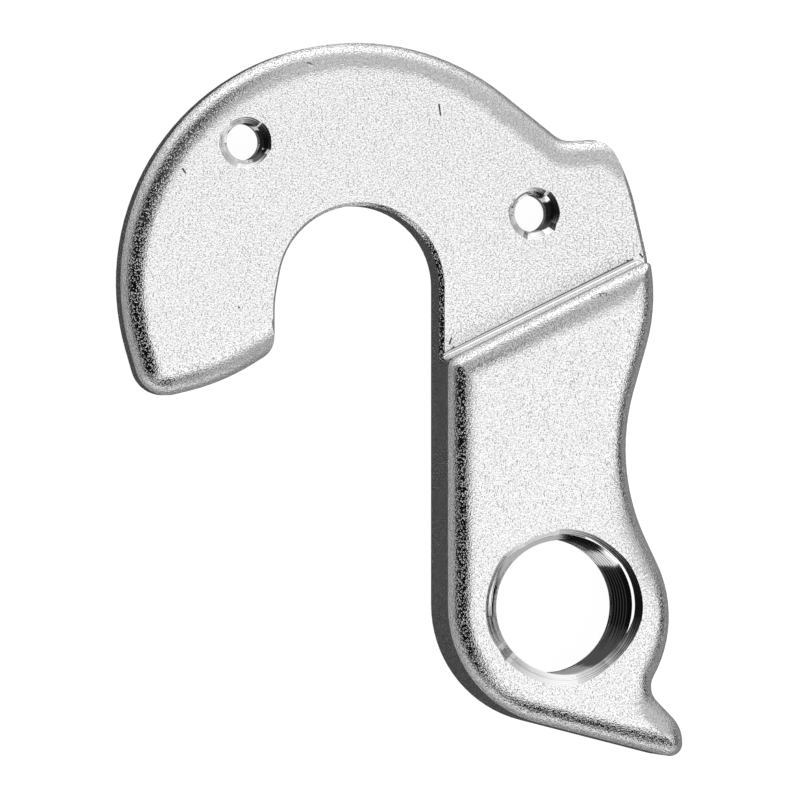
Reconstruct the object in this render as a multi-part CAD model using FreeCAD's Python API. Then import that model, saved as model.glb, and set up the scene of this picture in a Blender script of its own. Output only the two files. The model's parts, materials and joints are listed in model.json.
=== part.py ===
"""Bicycle derailleur hanger, forged and machined from one piece of aluminium.

A thin hook is screwed to the outside of the frame's dropout, whose edge stands on the
step. The wheel's axle enters its slot from below. Under the step the leg is twice as
thick, and the rear derailleur screws into the large threaded hole at its foot.

Millimetres. The origin is on the axis of the large hole, in the plane of the hook's front
face. X points to the rear of the bicycle, Y points up it, and Z points out of the front
face, to the wheel.
"""

import FreeCAD
import Part

import math
import os
from collections import namedtuple

# Thicknesses, both measured from the flat back
hook_thickness = 3.6
leg_thickness = 8.0

# The forged edge falls away from the face over its width and meets the side in a crease
rim_width = 2.0
rim_drop = 1.2
# The broken edges of the slot, of the hook beside the step and of the back
edge_break = 0.25

# The axle, seen from the derailleur's hole, and its slot, which is wider at the mouth
axle_x = -13.05
axle_y = 21.3
slot_width = 10.86
mouth_flare = 0.25
mouth_drop = 4.3
mouth_radius = 1.3
flare_length = 3.4
flare_radius = 8.0

# The hook's round crown, almost concentric with the axle
crown_shift_x = 0.1
crown_shift_y = 0.3
crown_radius = 16.02

# The hook's free arm: its blunt tip, just off the crown's circle, and its curved belly
tip_angle = 208.9
tip_offset = 0.4
tip_radius = 2.15
belly_reach = 8.95
belly_drop = 6.35
belly_radius = 15.0

# The ear at the other end of the crown, where the forged edge runs out
ear_angle = 34.4
ear_offset = 0.76
ear_length = 3.1
ear_rise = 0.2
ear_radius = 1.8
ear_notch_radius = 1.7
rim_exit_angle = 40.0

# The rear side, from the ear down to the notch above the tail
haunch_x = 5.4
haunch_y = 28.07
haunch_radius = 15.0
shoulder_x = 6.54
shoulder_y = 19.95
shoulder_radius = 12.0
waist_x = 3.49
waist_y = 9.25
waist_radius = 14.0
lobe_x = 8.36
lobe_y = -0.95
lobe_radius = 8.8
notch_x = 5.8
notch_y = -5.55
notch_radius = 1.5

# The tail, which the derailleur's stop screw bears on, and the foot of the leg
tail_x = 8.25
tail_y = -10.22
tail_radius = 0.85
tail_height = 2.15
tail_flank_radius = 2.4
foot_y = -6.14
foot_radius = 8.0

# The step from leg to hook, and the hook's heel, which stands out beyond its end
step_y = 20.12
step_angle = 26.0
step_end_x = 6.07
step_end_radius = 0.3
step_corner_radius = 0.9
step_fillet_radius = 0.4
heel_reach = 0.5
heel_radius = 5.0

# Threads by diameter and pitch, and the radii of their chamfered mouths
derailleur_thread = 10.0
derailleur_pitch = 1.0
derailleur_mouth_radius = 5.22
screw_thread = 3.0
screw_pitch = 0.5
screw_mouth_radius = 1.72
# An ISO metric thread is this many pitches deep
thread_depth = 0.5413

# The screws' places, as angle and distance from the crown's centre
front_screw_angle = 129.6
front_screw_reach = 12.15
rear_screw_angle = 21.7
rear_screw_reach = 12.6

# How far a cutting tool reaches past the metal, and how far the forged edge's cut runs out
overshoot = 0.5
rim_run_out = 6.0
# Lengths and heights that differ by less than this are the same
tolerance = 1e-6

# Heights of the flat back and of the leg's front face. The hook's front face is at zero.
back = -hook_thickness
front = leg_thickness - hook_thickness

# Centre of the crown, and the two sides of the slot
crown_x = axle_x + crown_shift_x
crown_y = axle_y + crown_shift_y
leg_side_x = axle_x + slot_width / 2
mouth_x = axle_x - slot_width / 2 - mouth_flare
mouth_y = axle_y - mouth_drop

# A route is laid through corners and discs, and consists of straight runs and round bends
Corner = namedtuple("Corner", "x y radius")
Disc = namedtuple("Disc", "x y radius turn")
Run = namedtuple("Run", "start end")
Bend = namedtuple("Bend", "centre radius start sweep")


def vector(x, y, z=0.0):
    return FreeCAD.Vector(x, y, z)


def unit(angle):
    return vector(math.cos(angle), math.sin(angle))


def heading(start, end):
    return math.atan2(end.y - start.y, end.x - start.x)


def from_crown(reach, degrees):
    """The point at a distance and an angle from the crown's centre."""
    return vector(crown_x, crown_y) + unit(math.radians(degrees)) * reach


def corner(point, radius):
    return Corner(point.x, point.y, radius)


def place(item):
    return vector(item.x, item.y)


def touch_point(point, disc, turn):
    """Where the straight from a point touches a disc that it passes with a given turn."""
    reach = place(disc).distanceToPoint(point)
    angle = heading(point, place(disc)) - turn * math.asin(disc.radius / reach)
    return point + unit(angle) * math.sqrt(reach**2 - disc.radius**2)


def straight_ends(items, index):
    """The points at one item that the straights before and after it aim at."""
    item = items[index]
    if isinstance(item, Corner):
        return place(item), place(item)
    before = place(items[index - 1])
    after = place(items[(index + 1) % len(items)])
    return touch_point(before, item, item.turn), touch_point(after, item, -item.turn)


def turn_at(before, point, after):
    """The turn that a route takes at a corner, positive to the left."""
    turn = heading(point, after) - heading(before, point)
    return math.atan2(math.sin(turn), math.cos(turn))


def bend_lengths(items, ends):
    """The length that each corner's bend takes off its straights.

    A corner has the radius that it asks for, or less where a straight is too short.
    """
    count = len(items)
    lengths = [0.0] * count
    for index, item in enumerate(items):
        if isinstance(item, Corner):
            turn = turn_at(ends[index - 1][1], place(item), ends[(index + 1) % count][0])
            lengths[index] = item.radius * math.tan(abs(turn) / 2)
    shares = [1.0] * count
    for index in range(count):
        follower = (index + 1) % count
        room = ends[index][1].distanceToPoint(ends[follower][0])
        share = room / max(room, lengths[index] + lengths[follower])
        shares[index] = min(shares[index], share)
        shares[follower] = min(shares[follower], share)
    return [length * share for length, share in zip(lengths, shares)]


def corner_bend(before, point, after, length):
    """The bend that rounds a corner and starts and ends at a length from it."""
    turn = turn_at(before, point, after)
    angle = heading(before, point)
    side = math.copysign(math.pi / 2, turn)
    radius = length / math.tan(abs(turn) / 2)
    centre = point - unit(angle) * length + unit(angle + side) * radius
    return Bend(centre, radius, angle - side, turn)


def disc_bend(disc, entry, leave):
    start = heading(place(disc), entry)
    sweep = (heading(place(disc), leave) - start) * disc.turn % (2 * math.pi)
    return Bend(place(disc), disc.radius, start, sweep * disc.turn)


def route(items):
    """The runs and bends of a closed route, with a run after each item."""
    ends = [straight_ends(items, index) for index in range(len(items))]
    lengths = bend_lengths(items, ends)
    segments = []
    for index, item in enumerate(items):
        follower = (index + 1) % len(items)
        entry, leave = ends[index]
        target = ends[follower][0]
        if isinstance(item, Disc):
            segments.append(disc_bend(item, entry, leave))
        elif lengths[index] > tolerance:
            segments.append(corner_bend(ends[index - 1][1], entry, target, lengths[index]))
        direction = unit(heading(leave, target))
        start = leave + direction * lengths[index]
        end = target - direction * lengths[follower]
        if start.distanceToPoint(end) > tolerance:
            segments.append(Run(start, end))
    return segments


def bend_point(bend, share):
    return bend.centre + unit(bend.start + bend.sweep * share) * bend.radius


def edge_of(segment):
    if isinstance(segment, Run):
        return Part.LineSegment(segment.start, segment.end).toShape()
    return Part.Arc(*(bend_point(segment, share) for share in (0.0, 0.5, 1.0))).toShape()


def prism(segments, low, high):
    face = Part.Face(Part.Wire([edge_of(segment) for segment in segments]))
    face.translate(vector(0, 0, low))
    return face.extrude(vector(0, 0, high - low))


def follow(segment, section):
    """A solid whose section follows one segment of a route.

    The section is a function of the greatest depth that it may have. It gives a wire in X
    and Z, where X is the depth into the metal, to the left of the route.
    """
    if isinstance(segment, Run):
        face = Part.Face(section(math.inf))
        angle = math.degrees(heading(segment.start, segment.end)) + 90
        face.rotate(vector(0, 0), vector(0, 0, 1), angle)
        face.translate(segment.start)
        return face.extrude(segment.end - segment.start)
    convex = segment.sweep > 0
    face = Part.Face(section(segment.radius if convex else math.inf))
    face.translate(vector(-segment.radius if convex else segment.radius, 0))
    angle = math.degrees(segment.start) + (180 if convex else 0)
    face.rotate(vector(0, 0), vector(0, 0, 1), angle)
    face.translate(segment.centre)
    return face.revolve(segment.centre, vector(0, 0, 1), math.degrees(segment.sweep))


def lines(points):
    """The straight edges from each point to the next, given in X and Z."""
    places = [vector(x, 0, z) for x, z in points]
    return [Part.LineSegment(a, b).toShape() for a, b in zip(places, places[1:])]


def arc(points):
    return Part.Arc(*(vector(x, 0, z) for x, z in points)).toShape()


def rim_section(top):
    """The section of what the forged edge takes off, above an arc tangent to the face."""
    radius = (rim_width**2 + rim_drop**2) / (2 * rim_drop)
    outside = -min(overshoot, radius - rim_width) / 2

    def on_arc(depth):
        return depth, top - radius + math.sqrt(radius**2 - (rim_width - depth) ** 2)

    def section(limit):
        depth = min(rim_width, limit)
        curve = arc([on_arc(outside), on_arc((outside + depth) / 2), on_arc(depth)])
        above = top + overshoot
        low = on_arc(outside)
        sides = [on_arc(depth), (depth, above), (-overshoot, above), (-overshoot, low[1]), low]
        return Part.Wire([curve] + lines(sides))

    return section


def forge_rim(solid, segments, top):
    section = rim_section(top)
    return solid.cut([follow(segment, section) for segment in segments])


def fillet_section(limit):
    """The section of a concave fillet on the hook's face, against the wall above it."""
    size = min(step_fillet_radius, limit)
    near = size * (1 - math.sqrt(0.5))
    curve = arc([(-size, 0), (-near, near), (0, size)])
    return Part.Wire([curve] + lines([(0, size), (0, 0), (-size, 0)]))


def step_line(x):
    """The height at which the step's wall passes."""
    return step_y + x * math.tan(math.radians(step_angle))


def leg_corners():
    """From the foot of the leg round the tail and up to its shoulder."""
    return [
        Corner(leg_side_x, foot_y, foot_radius),
        Corner(tail_x, tail_y, tail_radius),
        Corner(tail_x, tail_y + tail_height, tail_flank_radius),
        Corner(notch_x, notch_y, notch_radius),
        Corner(lobe_x, lobe_y, lobe_radius),
        Corner(waist_x, waist_y, waist_radius),
        Corner(shoulder_x, shoulder_y, shoulder_radius),
    ]


def hook_corners():
    """From the ear over the crown to the belly of the free arm."""
    ear_notch = from_crown(crown_radius + ear_offset, ear_angle)
    tip = from_crown(crown_radius + tip_offset, tip_angle)
    return [
        corner(ear_notch + vector(ear_length, ear_rise), ear_radius),
        corner(ear_notch, ear_notch_radius),
        Disc(crown_x, crown_y, crown_radius, 1),
        corner(tip, tip_radius),
        Corner(axle_x - belly_reach, axle_y - belly_drop, belly_radius),
    ]


def outline():
    """The hanger's whole contour, anticlockwise."""
    side = [
        Corner(step_end_x + heel_reach, step_line(step_end_x), heel_radius),
        Corner(haunch_x, haunch_y, haunch_radius),
    ]
    slot = [
        Corner(mouth_x, mouth_y, mouth_radius),
        Corner(mouth_x, mouth_y + flare_length, flare_radius),
        Disc(axle_x, axle_y, slot_width / 2, -1),
    ]
    return route(leg_corners() + side + hook_corners() + slot)


def leg_outline():
    """The contour of the leg above the hook, which the step closes."""
    step = [
        Corner(step_end_x, step_line(step_end_x), step_end_radius),
        Corner(leg_side_x, step_line(leg_side_x), step_corner_radius),
    ]
    return route(leg_corners() + step)


def hook_rim():
    """The route of the hook's forged edge, which leaves the contour at both its ends."""
    corners = hook_corners()
    ear = place(corners[0])
    past_ear = ear + unit(math.radians(-rim_exit_angle)) * rim_run_out
    mouth = vector(mouth_x, mouth_y)
    past_mouth = mouth + unit(heading(place(corners[-1]), mouth)) * rim_run_out
    closed = route([corner(past_ear, 0)] + corners + [corner(past_mouth, 0)])
    return closed[:-1]


def edges_at(solid, height):
    def lies_there(edge):
        return all(abs(vertex.Z - height) < tolerance for vertex in edge.Vertexes)

    return [edge for edge in solid.Edges if lies_there(edge)]


def hook_slab():
    """The hook and the lower half of the leg, with its edges broken."""
    slab = prism(outline(), back, 0)
    return slab.makeChamfer(edge_break, edges_at(slab, back) + edges_at(slab, 0))


def step_fillets(contour, slab):
    """The fillets along the leg's corner at the step's end, its wall and its corner at the slot.

    They stand on the slab's flat face only, not on its broken edges.
    """
    faces = [face for face in slab.Faces if face.BoundBox.ZMin > -tolerance]
    seat = max(faces, key=lambda face: face.Area).extrude(vector(0, 0, step_fillet_radius))
    *_, end_corner, wall, slot_corner, _ = contour
    return [follow(segment, fillet_section).common(seat) for segment in (end_corner, wall, slot_corner)]


def threaded_hole(centre, thread, pitch, mouth_radius, top):
    """The tool that bores a hole to its thread's minor diameter and chamfers both mouths."""
    radius = thread / 2 - thread_depth * pitch
    depth = mouth_radius - radius
    wide = mouth_radius + overshoot
    low = back - overshoot
    high = top + overshoot
    profile = lines([(0, low), (wide, low), (radius, back + depth), (radius, top - depth),
                     (wide, high), (0, high), (0, low)])
    tool = Part.Face(Part.Wire(profile)).revolve(vector(0, 0), vector(0, 0, 1), 360)
    tool.translate(centre)
    return tool


def holes():
    front_screw = from_crown(front_screw_reach, front_screw_angle)
    rear_screw = from_crown(rear_screw_reach, rear_screw_angle)
    return [
        threaded_hole(vector(0, 0), derailleur_thread, derailleur_pitch, derailleur_mouth_radius, front),
        threaded_hole(front_screw, screw_thread, screw_pitch, screw_mouth_radius, 0),
        threaded_hole(rear_screw, screw_thread, screw_pitch, screw_mouth_radius, 0),
    ]


def hanger():
    slab = hook_slab()
    hook = forge_rim(slab, hook_rim(), 0)
    contour = leg_outline()
    leg = forge_rim(prism(contour, back / 2, front), contour, front)
    body = hook.fuse([leg] + step_fillets(contour, slab))
    return body.cut(holes()).removeSplitter()


def main():
    os.makedirs("parts", exist_ok=True)
    shape = hanger()
    shape.Solids[0].exportStep("parts/hanger.step")
    box = shape.optimalBoundingBox(False)
    print("solids", len(shape.Solids), "valid", shape.isValid(), "faces", len(shape.Faces))
    print("size", round(box.XLength, 2), round(box.YLength, 2), round(box.ZLength, 2))
    print("volume", round(shape.Volume, 1))


main()
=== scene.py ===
# %% [markdown]
# # A bicycle's derailleur hanger in blasted aluminium
#
# A derailleur hanger is the small hook that ties a rear derailleur to a bicycle's frame. It is
# forged and machined from one piece of aluminium and then blasted, so nearly everything that we
# see is one finish over one shape. That makes it a good lesson in how much of a metal's look
# comes from its shape, its fine relief and the studio around it.
#
# We load the imported solid first.
# Blender works in metres and a hanger is drawn in millimetres, so MM turns one into the other.
# Points that are nearer than MERGE, in metres, become one point, and a point within TOUCH, in
# millimetres, of a face counts as on it.

# %% Load the solid
import json
import math

import bmesh
import bpy
from mathutils import Matrix, Vector

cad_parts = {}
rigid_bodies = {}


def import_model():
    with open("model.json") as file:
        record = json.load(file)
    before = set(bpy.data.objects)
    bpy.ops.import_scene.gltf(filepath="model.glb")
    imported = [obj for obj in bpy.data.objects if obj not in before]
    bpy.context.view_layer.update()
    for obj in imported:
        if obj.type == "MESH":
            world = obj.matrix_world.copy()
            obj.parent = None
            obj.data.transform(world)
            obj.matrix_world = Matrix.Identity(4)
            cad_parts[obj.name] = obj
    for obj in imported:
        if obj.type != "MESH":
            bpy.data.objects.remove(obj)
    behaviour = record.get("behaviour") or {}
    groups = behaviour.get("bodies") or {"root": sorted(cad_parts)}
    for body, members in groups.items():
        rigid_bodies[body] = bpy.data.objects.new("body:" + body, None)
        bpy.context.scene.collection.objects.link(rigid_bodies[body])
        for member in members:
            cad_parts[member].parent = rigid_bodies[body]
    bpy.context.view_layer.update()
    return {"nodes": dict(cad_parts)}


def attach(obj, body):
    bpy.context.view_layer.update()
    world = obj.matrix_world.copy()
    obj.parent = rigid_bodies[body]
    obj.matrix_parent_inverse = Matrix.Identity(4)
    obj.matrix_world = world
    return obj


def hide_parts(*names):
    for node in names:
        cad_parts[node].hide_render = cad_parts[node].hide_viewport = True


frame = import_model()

MM = 0.001
MERGE = 1e-7
TOUCH = 0.001
scene = bpy.context.scene
solid = frame["nodes"]["hanger"]
print("solid:", len(solid.data.polygons), "triangles")

# %% [markdown]
# ## The camera
#
# The photograph is taken with a very long lens, nearly straight down on the hanger, and from a
# little to the left. A lens of 540 mm at a distance of 0.8 m does the same. We aim it at the
# point that is in the middle of the picture. Its up direction is the hanger's own, so one turn
# about Y is enough.

# %% Set the camera
aim = Vector((-10.374, 13.776, 0.4)) * MM
view_angle = math.radians(9.8)
distance = 0.8

camera = bpy.data.objects.new("camera", bpy.data.cameras.new("camera"))
camera.data.lens = 540
camera.data.sensor_width = 36
camera.data.clip_end = 20
camera.rotation_euler = (0, -view_angle, 0)
camera.location = aim + distance * Vector((-math.sin(view_angle), 0, math.cos(view_angle)))
scene.collection.objects.link(camera)
scene.camera = camera
print("camera at", [round(c, 3) for c in camera.location])

# %% [markdown]
# ## From a shape to an object
#
# Every piece here is drawn as a bmesh and then becomes an object. One helper does that step. The
# cutting tools are drawn in millimetres round the origin, so a second helper closes them to a
# solid whose faces point outwards, and brings them to their size and place.

# %% Helpers for shapes
def open_edges(shape):
    return [edge for edge in shape.edges if edge.is_boundary]


def make_object(name, shape):
    """Makes an object from a bmesh, and frees the bmesh."""
    print(name, "has", len(shape.faces), "faces and", len(open_edges(shape)), "open edges")
    mesh = bpy.data.meshes.new(name)
    shape.to_mesh(mesh)
    shape.free()
    piece = bpy.data.objects.new(name, mesh)
    scene.collection.objects.link(piece)
    return piece


def make_tool(name, shape, centre):
    """Makes a cutting tool from a shape in millimetres, with its axis through the centre."""
    bmesh.ops.recalc_face_normals(shape, faces=shape.faces)
    bmesh.ops.scale(shape, vec=(MM, MM, MM), verts=shape.verts)
    bmesh.ops.translate(shape, vec=centre, verts=shape.verts)
    return make_object(name, shape)


# %% [markdown]
# ## A copy of the solid, with its holes stopped
#
# We could draw the outline again, but the solid already has the exact one, with its forged
# edges. So the visible piece starts as a copy of it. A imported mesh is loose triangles, so the
# copy's doubled points are merged, and flat neighbours are joined to larger faces.
#
# The solid's three holes are plain. The real ones are threaded, and their mouths are rough from
# the tool's chatter. It is easier to cut such a hole in sound metal than to change a plain one,
# so we take out the walls of the holes and close the openings.

# %% Copy the body and stop its holes
back, hook_top, leg_top = -3.6, 0.0, 4.4
derailleur_hole = Vector((0, 0, 0))
front_screw = Vector((-20.695, 30.962, 0)) * MM
rear_screw = Vector((-1.243, 26.259, 0)) * MM


def stop_hole(body, centre, radius):
    """Takes out a hole's wall and closes its two openings with flat faces."""
    def is_near(vert):
        return (vert.co.xy - centre.xy).length < radius

    wall = [face for face in body.faces if all(map(is_near, face.verts))]
    bmesh.ops.delete(body, geom=wall, context="FACES")
    bmesh.ops.holes_fill(body, edges=open_edges(body))


body = bmesh.new()
body.from_mesh(solid.data)
bmesh.ops.remove_doubles(body, verts=body.verts, dist=MERGE)
for centre, radius in ((derailleur_hole, 5.3), (front_screw, 1.8), (rear_screw, 1.8)):
    stop_hole(body, centre, radius * MM)
bmesh.ops.dissolve_limit(body, angle_limit=math.radians(0.5), verts=body.verts, edges=body.edges)
print("body:", len(body.faces), "faces,", len(open_edges(body)), "open edges")

# %% [markdown]
# ## The worn edge of the slot
#
# The wheel's axle stands in the slot and pulls against its rear side. There it has worn the
# edge's narrow chamfer to a wider and shallower slope, and it has hardly touched the front side.
# So we find the chamfer's faces by their place and their tilt. Where they face the front of the
# bicycle (-X), their upper line moves away from the slot and their lower line rises. Where they
# face the rear, the upper line moves towards the slot, which leaves a narrow chamfer, and the
# lower line stays. In between both change evenly with the direction that the edge faces.

# %% Wear the slot's edge
axle_x, slot_reach = -13.0, 6.3
slot_low, slot_high = 16.0, 28.0
chamfer_depth, least_tilt, most_tilt = 0.25, 0.3, 0.95
wear_across, wear_up = 0.1, 0.135
worn = {}
for face in body.faces:
    x, y, z = face.calc_center_median() / MM
    beside_slot = abs(x - axle_x) < slot_reach and slot_low < y < slot_high
    if beside_slot and -chamfer_depth < z < 0 and least_tilt < face.normal.z < most_tilt:
        for vert in face.verts:
            worn.setdefault(vert, []).append(face.normal * Vector((1, 1, 0)))
for vert, facings in worn.items():
    facing = sum(facings, Vector()).normalized()
    if vert.co.z > -TOUCH * MM:
        vert.co += wear_across * MM * facing.x * facing
    else:
        vert.co.z *= 1 - wear_up * (1 - facing.x)
print(len(worn), "points of the slot's edge moved")

dressed = make_object("dressed_hanger", body)

# %% [markdown]
# ## The drills
#
# Each hole is cut by a drill that flares at both its ends, which makes the chamfers of the two
# mouths. A hand-held countersink chatters: it leaves a mouth that isn't round, but has flats and
# corners. We draw the drill as four rings of points, extruded from a circle: the back mouth, the
# two ends of the bore, and the front mouth. Each corner below is an angle and the radius that
# the chatter left there, and between two corners the radius changes evenly. The chamfer keeps
# one slope all round, so it starts lower in the bore where its mouth reaches further.

# %% Shape a drill
SEGMENTS = 144
CORNER_GAP = 1.2
FLARE = 1.2


def reach_at(corners, angle):
    """The mouth's radius at an angle, in degrees, between the corners on either side."""
    (first, first_reach), (last, last_reach) = corners[0], corners[-1]
    wrapped = [(last - 360, last_reach)] + corners + [(first + 360, first_reach)]
    for (start, low), (end, high) in zip(wrapped, wrapped[1:]):
        if start <= angle <= end:
            return low + (high - low) * (angle - start) / (end - start)


def ring_angles(corners):
    """The corners' angles, and even ones between them that aren't too near to a corner."""
    sharp = [angle for angle, _ in corners]
    even = [360 * step / SEGMENTS for step in range(SEGMENTS)]
    clear = [a for a in even if all(abs((a - s + 180) % 360 - 180) > CORNER_GAP for s in sharp)]
    return sorted(sharp + clear)


def turned(angle, radius, height):
    """The point at an angle in degrees round the axis, at a radius and a height."""
    return Matrix.Rotation(math.radians(angle), 3, "Z") @ Vector((radius, 0, height))


def extend(shape, ring):
    """Extrudes a ring's edges, and gives the new ring."""
    edges = [edge for edge in shape.edges if all(vert in ring for vert in edge.verts)]
    made = bmesh.ops.extrude_edge_only(shape, edges=edges)["geom"]
    return [item for item in made if isinstance(item, bmesh.types.BMVert)]


def drill(name, centre, radius, top, corners, back_mouth):
    """A drill through the whole thickness, flared at both ends."""
    over = 0.4
    rings = [
        lambda reach: (back_mouth + over, back - over),
        lambda reach: (radius, back + back_mouth - radius),
        lambda reach: (radius, top - (reach - radius) / FLARE),
        lambda reach: (reach + over * FLARE, top + over),
    ]
    shape = bmesh.new()
    angles = ring_angles(corners)
    ring = bmesh.ops.create_circle(shape, segments=len(angles), radius=1)["verts"]
    for vert, angle in zip(ring, angles):
        vert.co = turned(angle, 1, 0)
    for index, point in enumerate(rings):
        if index:
            ring = extend(shape, ring)
        for vert in ring:
            angle = math.degrees(math.atan2(vert.co.y, vert.co.x)) % 360
            vert.co = turned(angle, *point(reach_at(corners, angle)))
    bmesh.ops.holes_fill(shape, edges=shape.edges)
    return make_tool(name, shape, centre)


# %% Make the three drills
derailleur_corners = [
    (0, 5.36), (15, 5.33), (35, 5.28), (45, 5.2), (57, 5.17), (66, 5.2), (93, 5.22), (98, 5.05),
    (122, 5.05), (139, 5.35), (160, 5.28), (200, 5.33), (213, 5.22), (222, 5.32), (226, 5.24),
    (248, 5.2), (281, 5.28), (290, 5.14), (308, 5.0), (325, 5.06), (344, 5.26), (352, 5.34),
]
front_corners = [
    (0, 1.7), (27, 1.72), (49, 1.7), (54, 1.64), (95, 1.7), (101, 1.66), (125, 1.66), (152, 1.74),
    (192, 1.82), (199, 1.78), (250, 1.86), (257, 1.76), (277, 1.82), (283, 1.76), (330, 1.65),
    (342, 1.76),
]
rear_corners = [
    (0, 1.8), (18, 1.77), (52, 1.84), (60, 1.73), (108, 1.76), (150, 1.67), (176, 1.75),
    (183, 1.68), (215, 1.72), (245, 1.74), (257, 1.88), (266, 1.74), (300, 1.66), (320, 1.84),
    (335, 1.72),
]
derailleur_bore, screw_bore = 4.459, 1.229
drills = [
    drill("derailleur_drill", derailleur_hole, derailleur_bore, leg_top, derailleur_corners, 5.22),
    drill("front_drill", front_screw, screw_bore, hook_top, front_corners, 1.72),
    drill("rear_drill", rear_screw, screw_bore, hook_top, rear_corners, 1.72),
]

# %% [markdown]
# ## The taps
#
# A tap cuts the thread. Its section is a V of 60 degrees whose tip is cut off flat, and a spin
# that climbs by one pitch a turn carries it round the axis. Neighbouring turns meet, so once
# their points are merged the tap is one closed skin, but for its two ends, which we close with a
# fan of faces. Each tap starts a little behind the back face, at a height that brings the groove
# out at the mouth where the photograph shows it.

# %% Make the taps
TURN_STEPS = 72
TIP_CUT = 0.06


def tap(name, centre, bore, pitch, start, turns, phase):
    """A tap for an internal thread, which starts at a height and turns with a given phase."""
    spread = math.tan(math.radians(30))
    tip = bore + 0.375 * pitch / spread
    root = tip - TIP_CUT * pitch
    flat = TIP_CUT * pitch * spread
    inner = tip - 0.5 * pitch / spread
    section = [(inner, -pitch / 2), (root, -flat), (root, flat), (inner, pitch / 2)]
    shape = bmesh.new()
    verts = [shape.verts.new((radius, 0, start + height)) for radius, height in section]
    edges = [shape.edges.new(pair) for pair in zip(verts, verts[1:])]
    bmesh.ops.spin(
        shape, geom=verts + edges, cent=(0, 0, 0), axis=(0, 0, 1),
        dvec=(0, 0, pitch / TURN_STEPS), angle=2 * math.pi * turns, steps=TURN_STEPS * turns,
        use_merge=False, use_duplicate=False,
    )
    bmesh.ops.remove_doubles(shape, verts=shape.verts, dist=MERGE / MM)
    ends = bmesh.ops.holes_fill(shape, edges=open_edges(shape))["faces"]
    bmesh.ops.poke(shape, faces=ends)
    turn = Matrix.Rotation(math.radians(phase), 3, "Z")
    bmesh.ops.rotate(shape, verts=shape.verts, matrix=turn)
    return make_tool(name, shape, centre)


taps = [
    tap("derailleur_tap", derailleur_hole, derailleur_bore, 1.0, -5.31, 11, 0),
    tap("front_tap", front_screw, screw_bore, 0.5, -4.6, 11, 40),
    tap("rear_tap", rear_screw, screw_bore, 0.5, -4.6, 11, 200),
]

# %% [markdown]
# ## The burr of the tap
#
# Where the tap leaves the derailleur's hole it has raised a burr along its groove, and the flat
# top of that burr is the bright line in the chamfer. Its section is a triangle that is mostly
# buried in the metal. It climbs and widens evenly as it goes round.

# %% Make the burr
BURR_WIDTH, BURR_DEPTH = 0.17, 0.16


def burr(name, centre, first, last, reach, top):
    """A ridge from one angle to another; its inner edge has a reach and a height at each angle."""
    shape = bmesh.new()
    ring = bmesh.ops.create_circle(shape, segments=3, radius=1, cap_ends=True)["verts"]
    for angle in range(first, last + 1, 2):
        if angle > first:
            ring = extend(shape, ring)
        inner, height = reach(angle), top(angle)
        outer = inner + BURR_WIDTH
        section = [(inner, height), (outer, height), (outer, height - BURR_DEPTH)]
        for vert, (radius, level) in zip(ring, section):
            vert.co = turned(angle, radius, level)
    bmesh.ops.holes_fill(shape, edges=shape.edges)
    return make_tool(name, shape, centre)


ridge = burr(
    "derailleur_burr", derailleur_hole, -22, 72,
    reach=lambda angle: 4.69 + 0.0016 * angle, top=lambda angle: 4.0 + 0.0021 * angle,
)

# %% [markdown]
# ## Cutting the holes
#
# A Boolean modifier takes each tool out of the body, and one more adds the burr. The tools carry
# the finish of cut metal, and the modifier passes it to the faces that they leave, so nobody has
# to pick them by hand. Once the modifiers are worked out we keep their result and drop the tools.

# %% Cut the holes
blasted = bpy.data.materials.new("blasted_metal")
bored = bpy.data.materials.new("bored_metal")
milled = bpy.data.materials.new("milled_metal")
finishes = [blasted, bored, milled]
for finish in finishes:
    dressed.data.materials.append(finish)
for tool in drills + taps + [ridge]:
    tool.data.materials.append(bored)
    cut = dressed.modifiers.new(tool.name, "BOOLEAN")
    cut.operation = "UNION" if tool is ridge else "DIFFERENCE"
    cut.solver = "EXACT"
    cut.material_mode = "TRANSFER"
    cut.object = tool
bpy.context.view_layer.update()

body = bmesh.new()
body.from_mesh(dressed.evaluated_get(bpy.context.evaluated_depsgraph_get()).data)
bmesh.ops.remove_doubles(body, verts=body.verts, dist=MERGE)
dressed.modifiers.clear()
for tool in drills + taps + [ridge]:
    bpy.data.objects.remove(tool)
print("cut body:", len(body.faces), "faces,", len(open_edges(body)), "open edges")

# %% [markdown]
# ## Creases, and the milled step
#
# Most of the hanger bends gently and is shaded smooth, and only true edges stay sharp. Between
# two facets of a chattered chamfer the bend is slight, and still it has to show, so there a few
# degrees are enough. The Weighted Normal modifier then keeps the large flats flat up to their
# edges.
#
# The diagonal step between the hook and the leg was milled after the forging. Its wall and the
# fillet at its foot get a finish of their own. We find them in a narrow band along the step.

# %% Mark the creases and the step
CREASE, FACET_CREASE = math.radians(20), math.radians(3)
MOUTH_TILT = (0.4, 0.82)
step_height, step_slope = 20.12, math.radians(26)
step_front, step_rear, step_wall_top, step_band = -7.4, 6.3, 3.25, 0.6


def is_chamfer(face):
    steep, shallow = MOUTH_TILT
    return steep < face.normal.z < shallow and finishes[face.material_index] is bored


def is_crease(edge):
    if len(edge.link_faces) != 2:
        return True
    limit = FACET_CREASE if all(map(is_chamfer, edge.link_faces)) else CREASE
    return edge.calc_face_angle(0) > limit


def across_step(x, y):
    """How far a point is from the step's line, in millimetres, towards the hook."""
    return (y - step_height) * math.cos(step_slope) - x * math.sin(step_slope)


def on_step(face):
    x, y, z = face.calc_center_median() / MM
    beside = step_front < x < step_rear and abs(across_step(x, y)) < step_band
    return beside and TOUCH < z < step_wall_top


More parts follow.
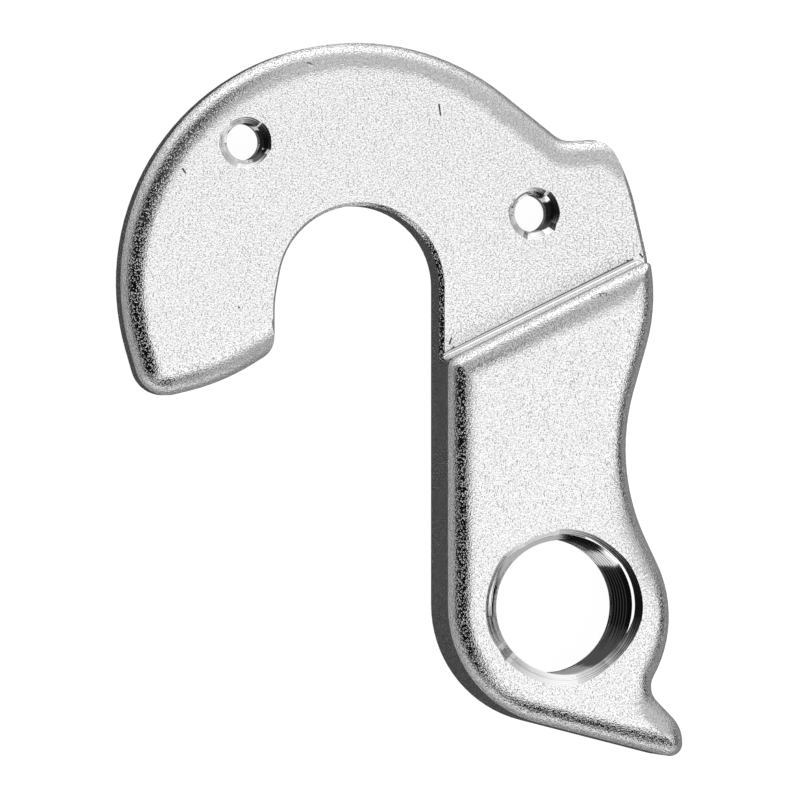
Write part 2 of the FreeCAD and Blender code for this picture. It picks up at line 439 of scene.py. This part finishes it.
for edge in body.edges:
    edge.smooth = not is_crease(edge)
for face in body.faces:
    face.smooth = True
    if on_step(face):
        face.material_index = finishes.index(milled)
body.to_mesh(dressed.data)
body.free()
normals = dressed.modifiers.new("even_normals", "WEIGHTED_NORMAL")
normals.keep_sharp = True
for index, finish in enumerate(finishes):
    print(finish.name, "on", sum(p.material_index == index for p in dressed.data.polygons), "faces")

# %% [markdown]
# ## Writing a material as sums
#
# A material is a graph of nodes. Written out node by node it is long and hard to read, so we
# wrap a socket in a small class: each sum on it adds the Math node that does the sum. One more
# method adds any other node. All three finishes are bare metal, so they start from the same
# metallic shader, and their patterns follow the place on the hanger in millimetres.

# %% A socket to reckon with
class Wire:
    def __init__(self, tree, socket):
        self.tree, self.socket = tree, socket

    def node(self, kind, settings, sockets, output=0):
        made = self.tree.nodes.new("ShaderNode" + kind)
        for name, value in settings.items():
            setattr(made, name, value)
        for name, value in sockets.items():
            if isinstance(value, Wire):
                self.tree.links.new(value.socket, made.inputs[name])
            else:
                made.inputs[name].default_value = value
        return Wire(self.tree, made.outputs[output])

    def maths(self, operation, first, second):
        return self.node("Math", {"operation": operation}, {0: first, 1: second})

    def __add__(self, other):
        return self.maths("ADD", self, other)

    def __sub__(self, other):
        return self.maths("SUBTRACT", self, other)

    def __rsub__(self, other):
        return self.maths("SUBTRACT", other, self)

    def __mul__(self, other):
        return self.maths("MULTIPLY", self, other)

    __radd__, __rmul__ = __add__, __mul__

    def at_least(self, other):
        return self.maths("MAXIMUM", self, other)

    def at_most(self, other):
        return self.maths("MINIMUM", self, other)

    def ramp(self, low, high, start=0.0, end=1.0):
        """Goes smoothly from start to end while this goes from low to high."""
        settings = {"interpolation_type": "SMOOTHSTEP"}
        sockets = {"Value": self, "From Min": low, "From Max": high, "To Min": start, "To Max": end}
        return self.node("MapRange", settings, sockets)

    def vector(self, operation, other, output=0):
        return self.node("VectorMath", {"operation": operation}, {0: self, 1: other}, output)

    def split(self):
        """The three coordinates of a vector."""
        return [self.node("SeparateXYZ", {}, {0: self}, axis) for axis in "XYZ"]

    def from_axis(self):
        """How far a point is from the Z axis."""
        level = self.vector("MULTIPLY", (1, 1, 0))
        return level.node("VectorMath", {"operation": "LENGTH"}, {0: level}, "Value")


# %% Start and finish a metal
def start_metal(material, roughness):
    """Makes a material bare metal, and gives the place on the hanger in millimetres."""
    material.use_nodes = True
    tree = material.node_tree
    shader = tree.nodes["Principled BSDF"]
    shader.inputs["Metallic"].default_value = 1
    shader.inputs["Roughness"].default_value = roughness
    place = Wire(tree, tree.nodes.new("ShaderNodeTexCoord").outputs["Object"])
    return place.node("Mapping", {}, {"Vector": place, "Scale": (1 / MM, 1 / MM, 1 / MM)})


def finish_metal(material, height, depth, tint):
    """Gives a metal its relief, a height times a depth in millimetres, and its tint."""
    bump = height.node("Bump", {}, {"Height": height, "Strength": 1.0, "Distance": depth * MM})
    tree = material.node_tree
    shader = tree.nodes["Principled BSDF"]
    tree.links.new(bump.socket, shader.inputs["Normal"])
    tree.links.new(tint.socket, shader.inputs["Base Color"])
    print(material.name, "has", len(tree.nodes), "nodes")


# %% [markdown]
# ## Scratches and nicks
#
# The hanger has been handled, and it shows a few short scratches and two deeper nicks. Each is a
# line from one point of the face to another, in millimetres, with a width. A mark is 1 along its
# line and fades to 0 at its width, so the same mark can darken the metal and lower its surface.

# %% Draw the marks
def mark(place, start, end, width):
    """Is 1 along the line from start to end, and fades to 0 at its width."""
    start, end = Vector((*start, 0)), Vector((*end, 0))
    run = (end - start).normalized()
    offset = place.vector("SUBTRACT", start)
    reached = offset.vector("DOT_PRODUCT", run, "Value").at_least(0.0).at_most((end - start).length)
    nearest = reached.node("VectorMath", {"operation": "SCALE"}, {0: run, "Scale": reached})
    return offset.vector("SUBTRACT", nearest).from_axis().ramp(width, 0.3 * width)


scratches = [
    ((-7.66, 33.51), (-7.56, 32.78), 0.06), ((-24.97, 29.16), (-24.78, 28.88), 0.07),
    ((-21.19, 19.95), (-21.16, 19.92), 0.07), ((-6.82, 17.91), (-6.96, 17.51), 0.06),
    ((-6.65, 17.31), (-6.89, 17.08), 0.06), ((6.0, 23.54), (6.17, 23.34), 0.07),
    ((5.12, 23.11), (5.26, 23.08), 0.07),
]
nicks = [
    ((-16.46, 36.18), (-16.24, 36.06), 0.13), ((2.09, 20.6), (2.5, 20.74), 0.15),
    ((2.5, 20.74), (2.87, 20.79), 0.15),
]
print(len(scratches), "scratches, and", len(nicks), "lines for the nicks")

# %% [markdown]
# ## The blasted finish
#
# Blasting covers the metal with fine dents about a tenth of a millimetre wide. Between them it
# still mirrors quite sharply, and that is why it sparkles: each dent's side mirrors another part
# of the studio. A high roughness would blur all this to an even grey. So the roughness is low and
# the grain is relief. A fine noise gives the uneven surface. The dents are the low spots of a
# coarser one: a steep ramp gives them their sides and keeps all between them flat. The metal is a
# little paler where the fine grain stands high.

# %% The blasted finish
def noise(place, scale, detail):
    return place.node("TexNoise", {}, {"Vector": place, "Scale": scale, "Detail": detail})


place = start_metal(blasted, roughness=0.07)
stipple = noise(place, 10.0, 1.0)
dent = noise(place, 8.0, 0.0).ramp(0.3, 0.42)
scratch = sum(mark(place, *line) for line in scratches)
nick = sum(mark(place, *line) for line in nicks)
relief = 0.55 * stipple + 0.9 * dent - 1.0 * scratch - 5.0 * nick
tint = stipple.ramp(0.3, 0.7, 0.71, 0.89) * (1 - 0.95 * scratch)
finish_metal(blasted, relief, 0.042, tint)

# %% [markdown]
# ## The bored finish
#
# The drills and taps have left bright, turned metal, with fine rings that run round each hole. A
# noise that varies with the distance from the axis and with the height, and with nothing else,
# makes rings. Deeper in, the threads get painted shade: their base colour is darker than the
# chamfers' at the mouths. The height at which that starts is a little below each mouth: lower on
# the hook, round the two screws, than on the leg.

# %% The bored finish
def stripes(position, scale):
    """A noise that varies along one direction only, as the marks of a cutting edge do."""
    settings = {"noise_dimensions": "1D"}
    return position.node("TexNoise", settings, {"W": position, "Scale": scale, "Detail": 1.0})


place = start_metal(bored, roughness=0.1)
height = place.split()[2]
nearest = place.from_axis()
painted_shade_below = nearest.ramp(6.0, 8.0, leg_top - 0.8, hook_top - 0.5)
for centre in (front_screw, rear_screw):
    nearest = nearest.at_most(place.vector("SUBTRACT", centre / MM).from_axis())
# Painted shade: below a height a little under each mouth the base colour darkens, deep in the
# holes.
tint = (painted_shade_below - height).ramp(0.0, 0.1, 0.85, 0.6)
finish_metal(bored, stripes(nearest + height, 9.0), 0.004, tint)

# %% [markdown]
# ## The milled finish
#
# The cutter went along the step, so its marks are lines along the step. They vary with the
# distance across it, and with the height, to show on the upright wall too. Painted shade darkens
# the base colour in the corner at the fillet's outer edge and on the wall under its upper edge,
# which makes the two thin dark lines beside the bright band.

# %% The milled finish
place = start_metal(milled, roughness=0.2)
x, y, z = place.split()
across = across_step(x, y)
# Painted shade: the base colour darkens in the fillet's outer corner and on the wall above 2.3 mm.
painted_shade = across.ramp(0.27, 0.33) + z.ramp(2.0, 2.3)
finish_metal(milled, stripes(across - 0.4 * z, 11.0), 0.008, 1 - 0.85 * painted_shade)

# %% [markdown]
# ## The floor
#
# The hanger lies on its flat back on a plain white floor. In the photograph the ground is pure
# white and casts nothing on the metal, so the floor glows a little and stays out of the metal's
# mirror. The sky below the horizon, which comes next, stands in for it there.

# %% Lay the floor
shape = bmesh.new()
bmesh.ops.create_grid(shape, x_segments=1, y_segments=1, size=3)
bmesh.ops.translate(shape, vec=(0, 0, back * MM), verts=shape.verts)
floor = make_object("floor", shape)
paper = bpy.data.materials.new("paper")
paper.use_nodes = True
sockets = paper.node_tree.nodes["Principled BSDF"].inputs
sockets["Base Color"].default_value = (0.2, 0.2, 0.2, 1)
sockets["Roughness"].default_value = 0.9
sockets["Emission Color"].default_value = (1, 1, 1, 1)
sockets["Emission Strength"].default_value = 0.95
floor.data.materials.append(paper)
floor.visible_glossy = False

# %% [markdown]
# ## The room round the hanger
#
# Bare metal shows what stands round it, so the studio is half of this picture. The rounded edges
# mirror the room from overhead down to the horizon and below it. Overhead the room is nearly
# black. Towards the horizon there is a pale band, brightest to the far and near sides (+Y and
# -Y), a little brighter to the left than to the right, and higher up on the far side. Below the
# horizon lies the ground, which darkens straight down.

# %% Light the room
world = bpy.data.worlds.new("studio")
scene.world = world
world.use_nodes = True
tree = world.node_tree
direction = Wire(tree, tree.nodes.new("ShaderNodeTexCoord").outputs["Generated"])
right, far, up = direction.split()
lower_end = (up + 0.15 * far).ramp(-0.3, -0.08)
upper_end = (up - 0.15 * far.at_least(0.0)).ramp(0.3, 0.0)
band = lower_end * upper_end * (1.4 * (far * far) - 0.2 * right)
ground = up.ramp(-0.9, -0.4, 0.17, 1.0) * up.ramp(0.2, -0.1)
brightness = 0.005 + 0.31 * ground + band
tree.links.new(brightness.socket, tree.nodes["Background"].inputs["Color"])
print(world.name, "has", len(tree.nodes), "nodes")

# %% [markdown]
# ## The panels
#
# All the rest is five soft panels overhead. The flat faces mirror one small patch of the main
# panel, which stands a little to the right, and the rounded edges mirror its borders and the
# panels beside it. A panel's place and size are given in multiples of its height, because that
# is what a mirror sees: a panel twice as high and twice as large looks the same in the metal.
# Panels add up where one covers another, so beside the main one they keep clear of it.

# %% Hang the panels
panel_height = 0.5


def panel(name, place, size, roll, radiance):
    """A light that faces down, with its place and size as multiples of its height."""
    lamp = bpy.data.lights.new(name, "AREA")
    lamp.shape = "RECTANGLE"
    lamp.size, lamp.size_y = panel_height * size[0], panel_height * size[1]
    lamp.energy = radiance * lamp.size * lamp.size_y * math.pi
    lit = bpy.data.objects.new(name, lamp)
    lit.location = aim + panel_height * Vector((*place, 1))
    lit.rotation_euler = (0, 0, math.radians(roll))
    scene.collection.objects.link(lit)
    print(name, "has", round(lamp.energy, 2), "W")


panel("main_panel", (2.12, -0.21), (5.2, 1.19), 5, 1.2)
panel("right_panel", (3.3, -2.3), (5.6, 2.2), -5, 0.5)
panel("near_panel", (-0.68, -1.2), (0.45, 0.98), -45, 1.25)
panel("far_panel", (3.5, 2.0), (8.0, 2.6), 8, 0.62)
panel("left_panel", (-0.75, 1.3), (0.8, 2.0), 10, 0.12)
scene.view_settings.view_transform = "Standard"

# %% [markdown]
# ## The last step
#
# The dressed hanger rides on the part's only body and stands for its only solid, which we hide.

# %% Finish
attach(dressed, "root")
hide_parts("hanger")
